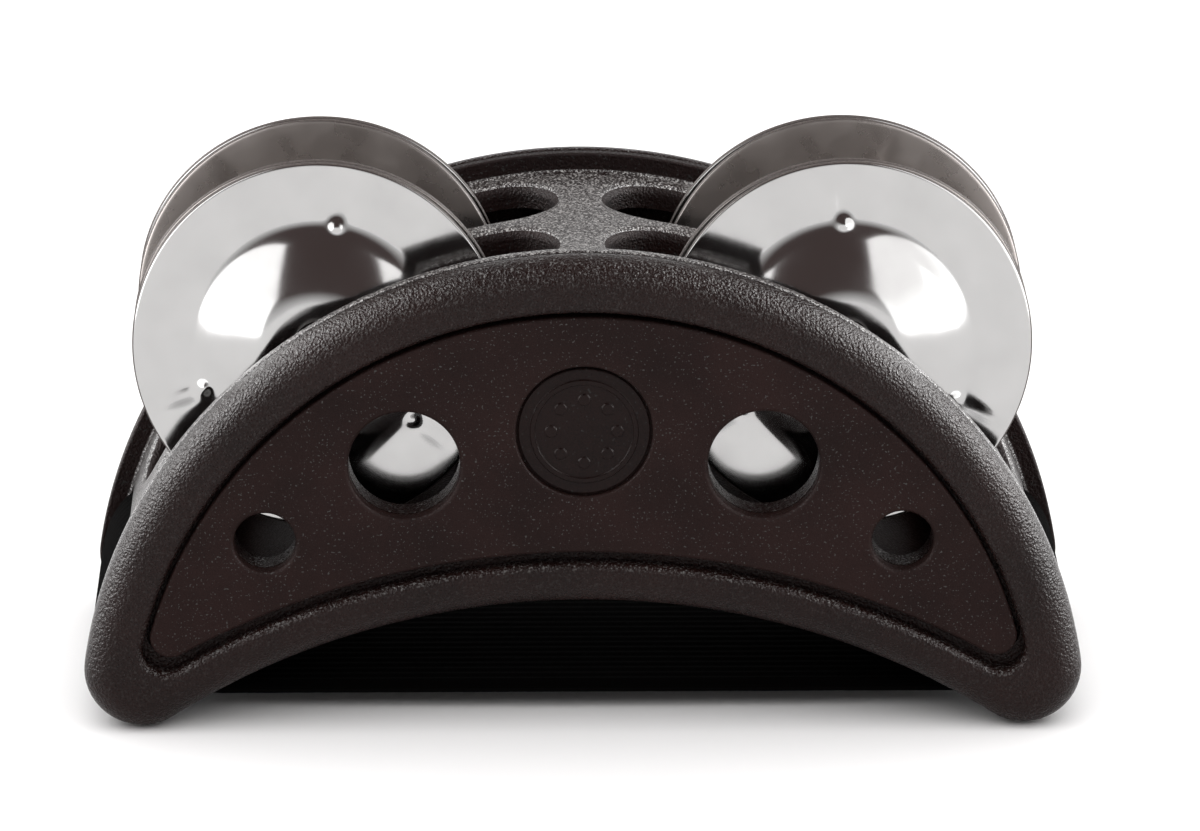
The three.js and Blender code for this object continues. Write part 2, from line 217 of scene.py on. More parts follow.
class Shader:
    """A material with its Principled shader and short ways to add and join nodes."""

    def __init__(self, name, **settings):
        self.material = bpy.data.materials.new(name)
        self.material.use_nodes = True
        self.tree = self.material.node_tree
        self.surface = self.tree.nodes["Principled BSDF"]
        for socket, value in settings.items():
            self.surface.inputs[socket.replace("_", " ")].default_value = value
        self.coords = self.tree.nodes.new("ShaderNodeTexCoord").outputs["Object"]

    def add(self, kind, inputs=(), **properties):
        node = self.tree.nodes.new("ShaderNode" + kind)
        for key, value in properties.items():
            setattr(node, key, value)
        for key, value in dict(inputs).items():
            if isinstance(value, bpy.types.NodeSocket):
                self.tree.links.new(value, node.inputs[key])
            else:
                node.inputs[key].default_value = value
        return node

    def link(self, output, socket):
        self.tree.links.new(output, self.surface.inputs[socket])

    def noise(self, scale, detail=3.0, vector=None):
        inputs = {"Vector": vector or self.coords, "Scale": scale, "Detail": detail}
        return self.add("TexNoise", inputs).outputs["Fac"]

    def math(self, operation, a, b=0.0):
        return self.add("Math", {0: a, 1: b}, operation=operation).outputs[0]

    def ramp(self, value, low, high, start, end):
        """low where value is at or below start, high where it is at or above end."""
        inputs = {"Value": value, "From Min": start, "From Max": end, "To Min": low, "To Max": high}
        return self.add("MapRange", inputs).outputs["Result"]

    def mix(self, fac, a, b):
        """A colour between a and b, given as sockets or as (red, green, blue)."""
        first, second = (c if isinstance(c, bpy.types.NodeSocket) else (*c, 1) for c in (a, b))
        return self.add("Mix", {0: fac, 6: first, 7: second}, data_type="RGBA").outputs[2]

    def bump(self, height, distance):
        self.link(self.add("Bump", {"Height": height, "Distance": distance}).outputs["Normal"], "Normal")


def grained_plastic(name, cell, depth, gloss, roughness, skin, glint, glint_from, glint_below=1.0):
    """Black-brown moulded plastic with a pebbled leather grain, scattered with small pale glints painted into its
    colour as highlights.

    The painted glints are full where the surface faces up, and glint_below of that where it faces down: painted light
    falling from above."""
    s = Shader(name, Specular_IOR_Level=gloss, IOR=1.46)
    warp = s.add("TexNoise", {"Vector": s.coords, "Scale": 0.45 / cell, "Detail": 2.0}).outputs["Color"]
    offset = s.add("VectorMath", {0: warp, 1: (0.5, 0.5, 0.5)}, operation="SUBTRACT").outputs[0]
    bent = s.add("VectorMath", {0: offset, "Scale": cell * 1.6}, operation="SCALE").outputs[0]
    spot = s.add("VectorMath", {0: s.coords, 1: bent}, operation="ADD").outputs[0]
    cells = s.add("TexVoronoi", {"Vector": spot, "Scale": 1 / cell}, feature="F1").outputs["Distance"]
    pebble = s.math("SUBTRACT", 1.0, cells)
    fine = s.noise(2.6 / cell, 2.0)
    s.bump(s.math("ADD", pebble, s.math("MULTIPLY", fine, 0.5)), depth)
    mottle = s.math("ADD", s.math("MULTIPLY", s.noise(90, 4.0), 0.4), s.math("MULTIPLY", fine, 0.6))
    dark, light = [tuple(c * k for c in skin) for k in (0.65, 1.35)]
    tone = s.mix(s.ramp(mottle, 0, 1, 0.4, 0.6), dark, light)
    up = s.add("SeparateXYZ", {0: s.add("TexCoord").outputs["Normal"]}).outputs["Z"]
    # Painted highlights: pale specks in the base colour stand for glints of light on the grain, brightest on surfaces
    # that face up.
    specks = s.ramp(s.noise(1.1 / cell, 1.0), 0, 1, glint_from, glint_from + 0.06)
    painted_glints = s.math("MULTIPLY", specks, s.ramp(up, glint_below, 1, 0.1, 0.75))
    s.link(s.mix(painted_glints, tone, (glint, glint * 0.96, glint * 0.93)), "Base Color")
    s.link(s.ramp(pebble, roughness + 0.2, roughness - 0.05, 0.35, 0.95), "Roughness")
    return s.material


def plated_steel(name, polish, shine):
    """Bright nickel-plated sheet, with faint rolling lines and handling haze."""
    s = Shader(name, Metallic=1.0)
    haze = s.noise(160, 4.0)
    dull = [0.93 * c for c in shine]
    s.link(s.ramp(haze, polish, polish * 1.7, 0.3, 0.75), "Roughness")
    s.link(s.mix(s.ramp(haze, 0, 1, 0.35, 0.7), shine, dull), "Base Color")
    s.bump(s.math("ADD", s.noise(45, 1.0), s.math("MULTIPLY", s.noise(2400, 2.0), 0.01)), 0.00003)
    return s.material


def cut_edge_steel():
    """The sheared, tarnished edge of a stamped disc: matt and darker than its faces, with a fine tear."""
    s = Shader("cut_edge_steel", Roughness=0.5, Specular_IOR_Level=0.1)
    tear = s.noise(3800, 3.0)
    s.link(s.mix(s.ramp(tear, 0, 1, 0.35, 0.65), (0.055, 0.045, 0.042), (0.1, 0.086, 0.08)), "Base Color")
    s.bump(tear, 0.00003)
    return s.material


def turned_steel(name, colour, roughness, line_scale):
    """Turned or plated rod, with fine lines round it that are line_scale to the metre."""
    s = Shader(name, Metallic=1.0)
    lines = s.add("Mapping", {"Vector": s.coords, "Scale": (60, line_scale, 60)}).outputs[0]
    streak = s.noise(1.0, 5.0, lines)
    s.link(s.ramp(streak, roughness * 0.7, roughness * 1.5, 0.3, 0.7), "Roughness")
    shade = tuple(c * 0.82 for c in colour)
    s.link(s.mix(s.ramp(s.noise(500), 0, 1, 0.4, 0.6), colour, shade), "Base Color")
    s.bump(streak, 0.00002)
    return s.material


def woven_webbing():
    """Black elastic webbing: ribs along the strap crossed by fine picks."""
    s = Shader("webbing", Specular_IOR_Level=0.01, Sheen_Weight=0.005, Sheen_Roughness=0.5)
    uv = s.add("TexCoord").outputs["UV"]
    warp = s.add("TexWave", {"Vector": uv, "Scale": 330.0, "Distortion": 0.0}, bands_direction="Y").outputs["Fac"]
    picks = s.add("TexWave", {"Vector": uv, "Scale": 420.0, "Distortion": 0.6, "Detail": 2.0,
                              "Detail Scale": 40.0}, bands_direction="X").outputs["Fac"]
    fuzz = s.noise(4000, 3.0)
    weave = s.math("MAXIMUM", s.math("MULTIPLY", warp, 0.8), picks)
    height = s.math("ADD", weave, s.math("MULTIPLY", fuzz, 0.5))
    s.bump(height, 0.00012)
    s.link(s.mix(s.ramp(height, 0, 1, 0.3, 1.3), (0.0002, 0.0001, 0.0001), (0.0011, 0.0008, 0.0008)), "Base Color")
    s.link(s.ramp(fuzz, 0.8, 0.97, 0.3, 0.7), "Roughness")
    return s.material


# cell and depth of the grain, gloss, roughness, skin colour, painted glint brightness, glint threshold
rim_plastic = grained_plastic(
    "rim_plastic", 0.0004, 0.00013, 0.15, 0.17, (0.0088, 0.0034, 0.0028), 0.085, 0.6, glint_below=0.12)
deck_plastic = grained_plastic(
    "deck_plastic", 0.00036, 0.00012, 0.42, 0.2, (0.0085, 0.0036, 0.003), 0.24, 0.53, glint_below=0.0)
# Matt plastic of the frame's walls and inside: its darker skin and faint glints are painted shade.
frame_plastic = grained_plastic("frame_plastic", 0.0004, 0.0001, 0.08, 0.4, (0.007, 0.0026, 0.0022), 0.02, 0.65)
panel_plastic = grained_plastic("panel_plastic", 0.00034, 0.00005, 0.09, 0.42, (0.0118, 0.005, 0.0043), 0.05, 0.665)
badge_plastic = grained_plastic("badge_plastic", 0.0005, 0.00001, 0.11, 0.24, (0.0062, 0.0026, 0.0022), 0.02, 0.7)
steel = plated_steel("mirror_steel", 0.09, (0.45, 0.447, 0.444))
# Steel of the inner discs: rougher, and darker in colour as painted shade between the facing discs.
hazed_shaded_steel = plated_steel("hazed_shaded_steel", 0.22, (0.3, 0.277, 0.265))
cut_edge = cut_edge_steel()
pin_steel = turned_steel("pin_steel", (0.62, 0.61, 0.6), 0.22, 9000)
zinc_steel = turned_steel("zinc_steel", (0.55, 0.55, 0.52), 0.3, 4000)
webbing = woven_webbing()


# ---------------------------------------------------------------- covers, panels and badges

def bored(bm, x, z, steps, segments=48):
    """A round hole as (radius, y) steps; returns its first and last loop."""
    return stack(bm, [(circle(x, z, r, segments), y) for r, y in steps])


def build_cover():
    """The front cover: a rounded rim round a ledge that carries the panel, with collars behind its sight holes."""
    bm = bmesh.new()
    lip, collar_edge, steps = 0.0009, 0.0003, 14
    rings = [(crescent(WALL, -EDGE_ROUND), -COVER_BACK),
             (crescent(WALL, -0.3 * EDGE_ROUND), -COVER_BACK - 0.3 * EDGE_ROUND),
             (crescent(WALL), -COVER_BACK - EDGE_ROUND)]
    for i in range(steps + 1):
        angle = 0.5 * math.pi * i / steps
        inset = RIM_ROUND * (1 - math.cos(angle))
        rings.append((crescent(WALL, -inset), -(HALF_DEPTH - RIM_ROUND) - RIM_ROUND * math.sin(angle)))
    for i in range(steps + 1):
        angle = 0.5 * math.pi * i / steps
        drop = lip * (1 - math.cos(angle))
        grow = lip * (1 - math.sin(angle))
        rings.append((crescent(PANEL_RECESS, grow), -HALF_DEPTH + drop + 0.0002 * i / steps))
    rings.append((crescent(PANEL_RECESS), -LEDGE_FACE))
    back, ledge = stack(bm, rings)
    front_loops, back_loops = [ledge], [back]
    for x, z, r in SIGHT_HOLES:
        out = r + COLLAR_WALL
        first, last = bored(bm, x, z, [
            (out, -COVER_BACK), (out, -WALL_INNER - collar_edge), (out - collar_edge, -WALL_INNER),
            (r + collar_edge, -WALL_INNER), (r, -WALL_INNER - collar_edge), (r, -LEDGE_FACE)])
        back_loops.append(first)
        front_loops.append(last)
    for x, z in SCREWS.values():
        first, last = bored(bm, x, z, [
            (SCREW_HOLE_R, -COVER_BACK), (SCREW_HOLE_R, -COUNTERBORE_FLOOR),
            (COUNTERBORE_R, -COUNTERBORE_FLOOR), (COUNTERBORE_R, -LEDGE_FACE)], 24)
        back_loops.append(first)
        front_loops.append(last)
    for side in (-1, 1):
        first, last = bored(bm, side * PIN_X, PIN_Z, [(PIN_HOLE_R, -COVER_BACK), (PIN_HOLE_R, -PIN_POCKET)], 24)
        back_loops.append(first)
        cap(bm, [last])
    cap(bm, front_loops)
    cap(bm, back_loops)
    return bm


def build_panel():
    """The flat inset: softly rounded all round, with rounded sight holes and a shallow recess for the badge."""
    bm = bmesh.new()
    edge, soft, lip, support = 0.0005, 0.0007, 0.00035, 0.0003
    face = -PANEL_FACE
    back, front = stack(bm, [(crescent(PANEL), -PANEL_BACK)]
                        + [(crescent(PANEL, grow), y) for grow, y in reversed(rounded(6, edge, -1, face))]
                        + [(crescent(PANEL, -edge - support), face)])
    front_loops, back_loops = [front], [back]
    for x, z, r in SIGHT_HOLES:
        steps = [(r + soft + support, face)] + [(r + grow, y) for grow, y in rounded(8, soft, 1, face)]
        first, last = bored(bm, x, z, steps + [(r, -PANEL_BACK)], 80)
        front_loops.append(first)
        back_loops.append(last)
    steps = [(BADGE_RECESS_R + lip + support, face)]
    steps += [(BADGE_RECESS_R + grow, y) for grow, y in rounded(5, lip, 1, face)]
    first, last = bored(bm, 0, BADGE_Z, steps + [(BADGE_RECESS_R, -BADGE_FLOOR)], 96)
    front_loops.append(first)
    cap(bm, [last])
    cap(bm, front_loops)
    cap(bm, back_loops)
    return bm


def build_badge():
    """The inlay: a plain raised ring and a ring of eight small studs, one for each jingle."""
    bm = bmesh.new()
    edge, ridge_r, ridge_half, relief, slope = 0.0003, 0.007, 0.00028, 0.00024, 0.00012
    studs, stud_ring, stud_r = 8, 0.0045, 0.00075
    turns, rings = 288, 110
    ground = relief - BADGE_FACE

    def plateau(distance, half):
        t = min(1.0, max(0.0, (half + slope - distance) / slope))
        return relief * t * t * (3 - 2 * t)

    def height(radius, angle):
        pitch = 2 * math.pi / studs
        nearest = round(angle / pitch) * pitch
        to_stud = math.sqrt(max(0.0, radius ** 2 + stud_ring ** 2
                                - 2 * radius * stud_ring * math.cos(angle - nearest)))
        return max(plateau(abs(radius - ridge_r), ridge_half), plateau(to_stud, stud_r))

    loops = []
    for i in range(rings):
        radius = (BADGE_R - edge) * (rings - i) / rings
        points = []
        for k in range(turns):
            angle = 2 * math.pi * k / turns
            y = ground - height(radius, angle)
            points.append(bm.verts.new((radius * math.cos(angle), y, BADGE_Z + radius * math.sin(angle))))
        loops.append(points)
    side = [
        add_loop(bm, circle(0, BADGE_Z, BADGE_R - edge * (1 - math.sin(a)), turns), ground + edge * (1 - math.cos(a)))
        for a in (0.5, 1.0, 0.5 * math.pi)
    ]
    back = add_loop(bm, circle(0, BADGE_Z, BADGE_R, turns), -BADGE_BACK)
    join(bm, [back, *reversed(side), *loops])
    cap(bm, [back])
    cap(bm, [loops[-1]])
    return bm


def build_screw():
    """A pan-head screw, pointing back from the front, with a cross recess and a thread."""
    bm = bmesh.new()
    turns, pitch, threads = 48, 0.0009, 11
    core_r, crest_r, thread_top = 0.00095, 0.0012, 0.0248
    recess_depth, recess_half, recess_r, recess_above = 0.0008, 0.0003, 0.0016, 0.0256
    head = [(0.0004, 0.0262), (0.0012, 0.02612), (0.0019, 0.02588), (0.0023, 0.0255), (0.0024, 0.0251)]
    profile = head + [(crest_r, 0.0251)]
    for i in range(threads):
        y = thread_top - pitch * i
        profile += [(core_r, y), (core_r, y - 0.3 * pitch), (crest_r, y - 0.55 * pitch), (crest_r, y - 0.65 * pitch)]
    profile += [(0.0009, 0.0147), (0.0003, 0.01405)]
    loops = []
    for radius, y in profile:
        points = []
        for k in range(turns):
            angle = 2 * math.pi * k / turns
            from_cross = min(abs(math.sin(angle)), abs(math.cos(angle))) * radius
            sunk = y > recess_above and from_cross < recess_half and radius < recess_r
            depth = -y + (recess_depth if sunk else 0.0)
            points.append(bm.verts.new((radius * math.cos(angle), depth, radius * math.sin(angle))))
        loops.append(points)
    join(bm, loops)
    cap(bm, [loops[0]])
    cap(bm, [loops[-1]])
    return bm


def add_end(end):
    """The cover, panel, badge and screws of one end; the rear ones are the front ones turned half round."""
    turn = half_turn if end == "rear" else (lambda obj: obj)
    cover = turn(soften(to_object(build_cover(), f"{end}_rim_cover", rim_plastic)))
    place(cover, "body", [f"{end}_cover"])
    panel = turn(soften(to_object(build_panel(), f"{end}_inset_panel", panel_plastic)))
    place(panel, "body", [f"{end}_panel"])
    badge = turn(soften(to_object(build_badge(), f"{end}_inlay_badge", badge_plastic), 60))
    place(badge, "body", [f"{end}_badge"])
    for name, (x, z) in SCREWS.items():
        screw = to_object(build_screw(), f"{end}_{name}_cover_screw", zinc_steel)
        screw.data.transform(Matrix.Translation((x, 0, z)))
        place(turn(screw), "body", [f"{end}_screw_{name}"])


# ---------------------------------------------------------------- body frame

def build_ring(profile):
    """A closed profile of (outline spec, grow, y) swept all round the crescent."""
    bm = bmesh.new()
    join(bm, [add_loop(bm, crescent(spec, grow), y) for spec, grow, y in profile], closed=True)
    return bm


def plate(outline, y_from, y_to):
    """A flat outline of (x, z) points pulled along Y."""
    bm = bmesh.new()
    first, last = stack(bm, [(outline, y_from), (outline, y_to)])
    cap(bm, [first])
    cap(bm, [last])
    return bm


def frame_ribs():
    """The rib across the middle of the frame, and the bowed one under the strip between the slots."""
    depth = 0.5 * (WALL_INNER + FLANGE_FACE)
    half, low, high = CENTRE_RIB
    centre = plate([(-half, low), (half, low), (half, high), (-half, high)], -depth, depth)
    inner, outer, half_width, reach = STRIP_RIB
    start, end = 0.5 * math.pi - reach, 0.5 * math.pi + reach
    bow = arc(0, OUTER_Z, outer, start, end, 90) + arc(0, OUTER_Z, inner, end, start, 90)
    return [centre, plate(bow, -half_width, half_width)]


def frame_profile():
    """The channel section of the frame: a flange at each end, the deck between them, and the inside."""
    soft, fillet, steps = 0.00035, 0.0006, 4
    turns = [0.5 * math.pi * i / steps for i in range(steps + 1)]
    root = [(SHELL, fillet * (1 - math.cos(a)), WALL_INNER - fillet + fillet * math.sin(a)) for a in turns]
    flange_back = [(WALL, -soft * (1 - math.sin(a)), WALL_INNER + soft * (1 - math.cos(a))) for a in turns]
    flange_face = [(WALL, -soft * (1 - math.cos(a)), FLANGE_FACE - soft + soft * math.sin(a)) for a in turns]
    inside = [(FLANGE_OPENING, 0.0, FLANGE_FACE), (FLANGE_OPENING, 0.0, WALL_INNER), (HOLLOW, 0.0, WALL_INNER)]
    rear = root + flange_back + flange_face + inside
    return rear + [(spec, grow, -y) for spec, grow, y in reversed(rear)]


def stadium(half_length, half_width):
    """A slot outline in its own plane, straight with round ends: point i lies across from point -i."""
    steps, run = 14, 48
    upper = arc(half_length, 0, half_width, 0, 0.5 * math.pi, steps)
    upper += [(half_length - 2 * half_length * i / run, half_width) for i in range(run)]
    upper += arc(-half_length, 0, half_width, 0.5 * math.pi, math.pi, steps)
    lower = [(along, -across) for along, across in reversed(upper[1:])]
    return upper + [(-half_length - half_width, 0)] + lower


def ladder_cap(bm, loop):
    """Closes a loop with faces that run straight across it, so that it keeps its bend along its length."""
    count = len(loop)
    for i in range(count // 2):
        rung = [loop[i], loop[i + 1], loop[-i - 1], loop[-i]]
        bm.faces.new(list(dict.fromkeys(rung)))


def slot_cutter(side, pair_y):
    """A slot's solid, bent round the deck; it flares where it leaves the deck, which rounds the slot's edge."""
    deck_r, flare, steps = SHELL[0], math.radians(78), 8
    end_angle = SLOT_HALF / deck_r
    near, far = SLOT_START + end_angle, SLOT_END - end_angle
    middle, half_length = side * 0.5 * (near + far), 0.5 * (far - near) * deck_r
    levels = [(0.0, SLOT_CUT_FROM), (0.0, deck_r - SLOT_ROUND - 0.0009)]
    for i in range(steps + 1):
        angle = flare * i / steps
        levels.append((SLOT_ROUND * (1 - math.cos(angle)), deck_r - SLOT_ROUND + SLOT_ROUND * math.sin(angle)))
    grow, height = levels[-1]
    levels.append((grow + 0.0016, height + 0.00045))
    bm = bmesh.new()
    loops = []
    for grow, radius in levels:
        points = []
        for along, across in stadium(half_length, SLOT_HALF + grow):
            lean = middle + along / deck_r
            place_x, place_z = radius * math.sin(lean), OUTER_Z + radius * math.cos(lean)
            points.append(bm.verts.new((place_x, pair_y + across, place_z)))
        loops.append(points)
    join(bm, loops)
    ladder_cap(bm, loops[0])
    ladder_cap(bm, loops[-1])
    return bm


def rod_mesh(x, z, radius, y_from, y_to):
    return plate(circle(x, z, radius, 40), y_from, y_to)


def combine(target, tools, operation):
    """Joins or cuts target with each tool, then drops the tools."""
    for tool in tools:
        step = target.modifiers.new("combine", "BOOLEAN")
        step.operation, step.object, step.solver = operation, tool, "MANIFOLD"
        evaluated = target.evaluated_get(bpy.context.evaluated_depsgraph_get())
        mesh = bpy.data.meshes.new_from_object(evaluated)
        target.modifiers.clear()
        target.data = mesh
        bpy.data.objects.remove(tool)


def strap_line(steps):
    """The strap's right-hand centre line from the middle of the span, round the tip, to its rod loop.

    Its three stretches have 4 * steps, 2 * steps and 2 * steps + 1 points."""
    tip_x, tip_z = STRAP_TIP
    radius = tip_z - STRAP_FLOOR_Z
    line = [(tip_x * i / (4 * steps), STRAP_FLOOR_Z) for i in range(4 * steps)]
    line += arc(tip_x, tip_z, radius, -0.5 * math.pi, STRAP_TIP_TURN, 2 * steps)
    start = (tip_x + radius * math.cos(STRAP_TIP_TURN), tip_z + radius * math.sin(STRAP_TIP_TURN))
    hold = [start, *STRAP_RISE]
    for i in range(2 * steps + 1):
        t = i / (2 * steps)
        weights = ((1 - t) ** 3, 3 * t * (1 - t) ** 2, 3 * t * t * (1 - t), t ** 3)
        line.append(tuple(sum(w * p[k] for w, p in zip(weights, hold)) for k in (0, 1)))
    return line


def offset_line(line, distance):
    """A line moved sideways by distance, to the left of its direction."""
    moved = []
    for i, (x, z) in enumerate(line):
        before, after = line[max(i - 1, 0)], line[min(i + 1, len(line) - 1)]
        along = Vector((after[0] - before[0], after[1] - before[1])).normalized()
        moved.append((x - distance * along.y, z + distance * along.x))
    return moved


def strap_slit_cutter(side):
    """The room that the strap takes round the tip and through the shell, with a little clearance."""
    steps = 10
    before_tip = 4 * steps - 5
    line = [(side * x, z) for x, z in strap_line(steps)[before_tip:]]
    half = STRAP_HALF + STRAP_CLEARANCE
    outline = offset_line(line, half) + list(reversed(offset_line(line, -half)))
    reach = STRAP_HALF_WIDTH + STRAP_CLEARANCE
    return plate(outline, -reach, reach)


def split_deck(body):
    """Only the outer deck, up to the rear wall, is glossy and carries the bright painted glints; the walls and the
    inside are matt, and their darker skin and faint glints paint the shade there.
    """
    skin, outward_from = 0.0004, 0.4
    body.data.materials.append(frame_plastic)
    for face in body.data.polygons:
        x, z = face.center.x, face.center.z - OUTER_Z
        from_axis = math.hypot(x, z)
        outward = (face.normal.x * x + face.normal.z * z) / from_axis
        on_deck = from_axis > SHELL[0] - skin and outward > outward_from and face.center.y < WALL_INNER
        face.material_index = 0 if on_deck else 1


def build_frame():
    """The moulded frame: channel section, ribs and bosses, cut by the four slots and the strap's slits."""
    body = to_object(build_ring(frame_profile()), "moulded_frame", deck_plastic)
    added = [rod_mesh(*SCREWS[name], BOSS_R, end * FLANGE_FACE, end * (FLANGE_FACE - BOSS_DEPTH))
             for name in ("top", "middle") for end in (-1, 1)]
    added += [rod_mesh(*SCREWS[name], BOSS_R, -FLANGE_FACE, FLANGE_FACE) for name in ("left", "right")]
    added += frame_ribs()
    margin, strip = PAIR_Y + SLOT_HALF + SLOT_MARGIN, PAIR_Y - SLOT_HALF - SLOT_MARGIN
    pin_cut, rod_cut = 0.025, STRAP_HALF_WIDTH + STRAP_CLEARANCE
    cutters = [slot_cutter(side, end * PAIR_Y) for side in (-1, 1) for end in (-1, 1)]
    cutters += [strap_slit_cutter(side) for side in (-1, 1)]
    for side in (-1, 1):
        for y_from, y_to in ((-FLANGE_FACE, -margin), (-strip, strip), (margin, FLANGE_FACE)):
            added.append(rod_mesh(side * PIN_X, PIN_Z, PIN_BOSS_R, y_from, y_to))
        cutters.append(rod_mesh(side * PIN_X, PIN_Z, PIN_HOLE_R, -pin_cut, pin_cut))
        cutters.append(rod_mesh(side * ROD_X, ROD_Z, ROD_LOOP_R + STRAP_CLEARANCE, -rod_cut, rod_cut))
    combine(body, [to_object(bm, "tool", deck_plastic) for bm in added], "UNION")
    combine(body, [to_object(bm, "tool", deck_plastic) for bm in cutters], "DIFFERENCE")
    split_deck(body)
    body.data.shade_smooth()
    return soften(body, 40)


# ---------------------------------------------------------------- jingles, pins, rods

def dome_height(radius):
    """How far a jingle's middle surface stands off its flat rim, averaged over DOME_FOOT to soften its bends."""
    samples = 13
    foot = math.sqrt(DOME_SPHERE_R ** 2 - DOME_R ** 2)
    total = 0.0
    for i in range(samples):
        r = max(abs(radius + DOME_FOOT * (2 * i / (samples - 1) - 1)), DOME_SEAT_R)
        if r < DOME_R:
            total += math.sqrt(DOME_SPHERE_R ** 2 - r ** 2) - foot
    return total / samples


def pip_height(radius, angle):
    """Three small pressed pips at the foot of the dome, each with a faint dimple outside it."""
    rise = 0.0
    for k in range(PIPS):
        turn = (angle - k * 2 * math.pi / PIPS + math.pi) % (2 * math.pi) - math.pi
        across = radius * turn
        rise += PIP_RISE * math.exp(-(((radius - PIP_RING) / PIP_R) ** 2 + (across / PIP_R) ** 2))
        dimple = ((radius - DIMPLE_RING) / DIMPLE_LENGTH) ** 2 + (across / DIMPLE_WIDTH) ** 2
        rise -= DIMPLE_DEPTH * math.exp(-dimple)
    return rise


def jingle_mesh():
    """A disc in its own frame: its axis is Z, its dome rises towards +Z and one pip lies on +X."""
    turns, rings, half = 288, 96, 0.5 * JINGLE_THICK
    edge = [(JINGLE_R - half + half * math.cos(a), half * math.sin(a))
            for a in [math.radians(75 - 15 * i) for i in range(11)]]
    hole = [(JINGLE_HOLE_R + half - half * math.cos(a), half * math.sin(a))
            for a in [math.radians(-75 + 25 * i) for i in range(7)]]
    sheet = JINGLE_R - JINGLE_HOLE_R - 2 * half
    radii = [JINGLE_HOLE_R + half + sheet * i / rings for i in range(rings + 1)]
    profile = [(r, half) for r in radii] + edge + [(r, -half) for r in reversed(radii)] + hole
    bm = bmesh.new()
    loops = []
    for r, h in profile:
        dome = dome_height(r)
        loop = []
        for k in range(turns):
            angle = 2 * math.pi * k / turns
            loop.append(bm.verts.new((r * math.cos(angle), r * math.sin(angle), h + dome + pip_height(r, angle))))
        loops.append(loop)
    join(bm, loops, closed=True)
    bmesh.ops.recalc_face_normals(bm, faces=bm.faces)
    mesh = bpy.data.meshes.new("jingle")
    bm.to_mesh(mesh)
    bm.free()
    mesh.materials.append(steel)
    mesh.materials.append(cut_edge)
    for face in mesh.polygons:
        face.material_index = int(math.hypot(face.center.x, face.center.y) > JINGLE_R - CUT_EDGE)
    mesh.shade_smooth()
    return mesh


def add_jingles():
    """One disc on each spinning joint: its centre and outward axis are the joint's.

    The front left and front right discs' pips stand where the photo shows them. The two inner discs of
    each side, which face each other, are hazed and darker, their darker steel being painted shade between the pairs;
    the outer ones are polished."""
    mesh = jingle_mesh()
    seen_pips = {0: 81, 4: 92}
    spins = [joint for joint in frame["joints"] if joint["type"] == "hinge"]
    for number, joint in enumerate(spins):
        body = joint["child"]
        side, pair, _, half = body.split("_")
        outward = Vector(joint["axis"]).normalized()
        right = Vector((-math.copysign(1, outward.y), 0, 0))
        up = outward.cross(right)
        first_pip = math.radians(seen_pips.get(number, 30 + 47 * number))
        own_mesh = mesh.copy()
        own_mesh.transform(Matrix.Rotation(first_pip, 4, "Z"))
        # The inner discs take the darker steel: painted shade between the pairs.
        if pair != half:
            own_mesh.materials[0] = hazed_shaded_steel
        disc = bpy.data.objects.new(f"{side}_{pair}_{half}_jingle_disc", own_mesh)
        bpy.context.scene.collection.objects.link(disc)
        axes = Matrix((right, up, outward)).transposed().to_4x4()
        disc.matrix_world = Matrix.Translation(joint["pos_m"]) @ axes
        place(disc, body, [f"jingle_{side}_{pair}_pair_{half}"])


def turned_rod(name, x, z, radius, half, ring_depth=0.0):
    """A steel rod along Y with rounded ends and, where ring_depth is set, a shallow ring near each end."""
    bm = bmesh.new()
    ball = 0.35 * radius
    side = [(radius - ball + ball * math.sin(a), half - ball + ball * math.cos(a))
            for a in [0.5 * math.pi * i / 5 for i in range(6)]]
    if ring_depth:
        side += [(radius, half - 0.0010), (radius - ring_depth, half - 0.0012),
                 (radius - ring_depth, half - 0.0018), (radius, half - 0.0020)]
    profile = side + [(r, -y) for r, y in reversed(side)]
    first, last = stack(bm, [(circle(x, z, r, 48), y) for r, y in profile])
    cap(bm, [first])
    cap(bm, [last])
    return to_object(bm, name, pin_steel)


# ---------------------------------------------------------------- strap

def build_strap():
    """The elastic strap's ribbed webbing from rod to rod, with its UVs in decimetres, and its flat length."""
    half = strap_line(14)
    line = [(-x, z) for x, z in reversed(half)] + half[1:]
    ribs, per_rib, rib_depth, selvedge, thinnest = 21, 6, 0.00014, 0.0011, 0.12
    width = STRAP_HALF_WIDTH
    count = ribs * per_rib
    top = []
    for i in range(count + 1):
        t = 2 * i / count - 1
        edge = min(1.0, (1 - abs(t)) * width / selvedge)
        thin = math.sqrt(max(0.0, 1 - (1 - edge) ** 2))
        rib = rib_depth * (0.5 + 0.5 * math.cos(2 * math.pi * i / per_rib))
        top.append((t * width, (STRAP_HALF - rib) * max(thin, thinnest)))
    section = top + [(y, -h) for y, h in reversed(top)]
    bm = bmesh.new()
    uv_layer = bm.loops.layers.uv.new("weave")
    rows, lengths, run = [], [], 0.0
    for i, (x, z) in enumerate(line):
        before, after = line[max(i - 1, 0)], line[min(i + 1, len(line) - 1)]
        along = Vector((after[0] - before[0], after[1] - before[1])).normalized()
        if i:
            run += math.dist(line[i - 1], (x, z))
        lengths.append(run)
        rows.append([bm.verts.new((x - h * along.y, y, z + h * along.x)) for y, h in section])
    size = len(section)
    for i in range(len(rows) - 1):
        for k in range(size):
            j = (k + 1) % size
            face = bm.faces.new((rows[i][k], rows[i][j], rows[i + 1][j], rows[i + 1][k]))
            spots = ((i, k), (i, j), (i + 1, j), (i + 1, k))
            for corner, (row, column) in zip(face.loops, spots):
                corner[uv_layer].uv = (lengths[row] * 10, section[column][0] * 10)
    bm.faces.new(rows[0])
    bm.faces.new(reversed(rows[-1]))
    return bm, run


